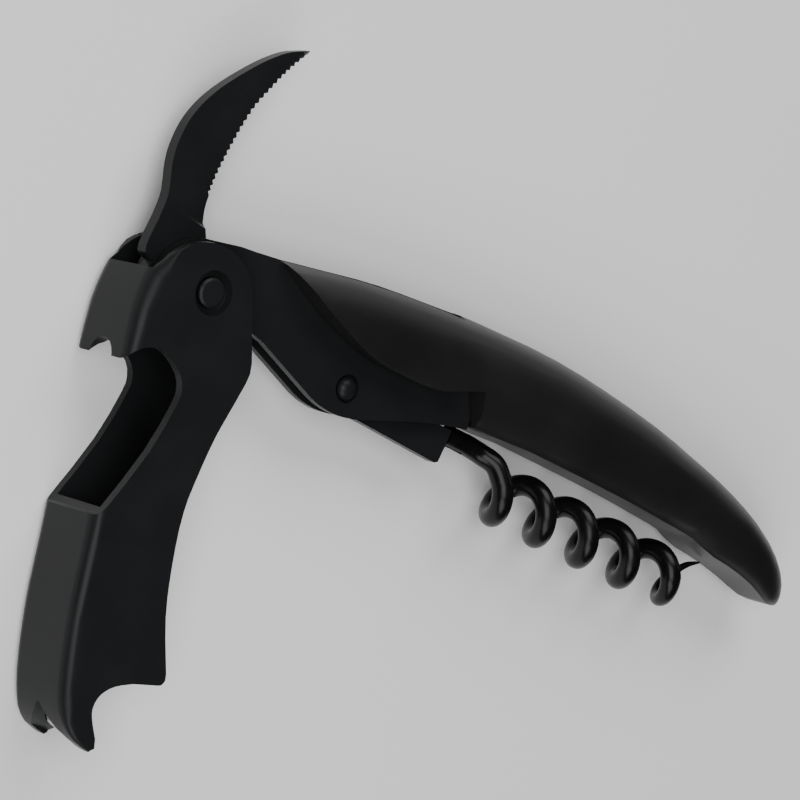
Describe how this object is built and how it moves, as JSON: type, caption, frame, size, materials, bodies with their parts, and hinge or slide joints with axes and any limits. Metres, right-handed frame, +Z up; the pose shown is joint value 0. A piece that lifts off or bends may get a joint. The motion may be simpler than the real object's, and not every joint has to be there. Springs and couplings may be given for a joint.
{
  "type": "waiters corkscrew",
  "caption": "Folding waiters corkscrew with a helical worm, a serrated foil knife and a two-step sheet-metal lever, hinged in a moulded handle.",
  "frame": {"origin": "under the middle of the object's box, on the surface it lies on", "axes": "+X along the handle from the pivot towards its tip, +Y towards the handle's back, +Z up across the thickness"},
  "size_m": [0.1204, 0.0874, 0.0116],
  "materials": {
    "grip_black": "soft satin black moulding",
    "black_coat": "satin black coating on sheet steel",
    "black_wire": "slick black non-stick coating on steel wire",
    "spring_steel": "bare ground steel"
  },
  "bodies": {
    "handle": {"grip": "grip_black", "near_liner": "black_coat", "far_liner": "black_coat", "back_spring": "spring_steel", "spring_pin_front": "spring_steel", "spring_pin_rear": "spring_steel", "knife_stop_pin": "spring_steel", "pivot_rivet": "black_coat", "near_pivot_washer": "spring_steel", "far_pivot_washer": "spring_steel", "worm_rivet": "black_coat"},
    "lever_body": {"lever": "black_coat"},
    "knife_body": {"knife_blade": "black_coat"},
    "worm_body": {"worm_bracket": "black_coat", "worm": "black_wire"}
  },
  "joints": [
    {"name": "lever_hinge", "type": "hinge", "parent": "handle", "child": "lever_body", "pos_m": [-0.05085, 0.0113, 0.0058], "axis": [0, 0, 1], "range_deg": [0, 72]},
    {"name": "knife_hinge", "type": "hinge", "parent": "handle", "child": "knife_body", "pos_m": [-0.05085, 0.0113, 0.0058], "axis": [0, 0, 1], "range_deg": [-80, 0]},
    {"name": "worm_hinge", "type": "hinge", "parent": "handle", "child": "worm_body", "pos_m": [-0.02445, 0.0089, 0.0058], "axis": [0, 0, 1], "range_deg": [-103, 0]}
  ]
}
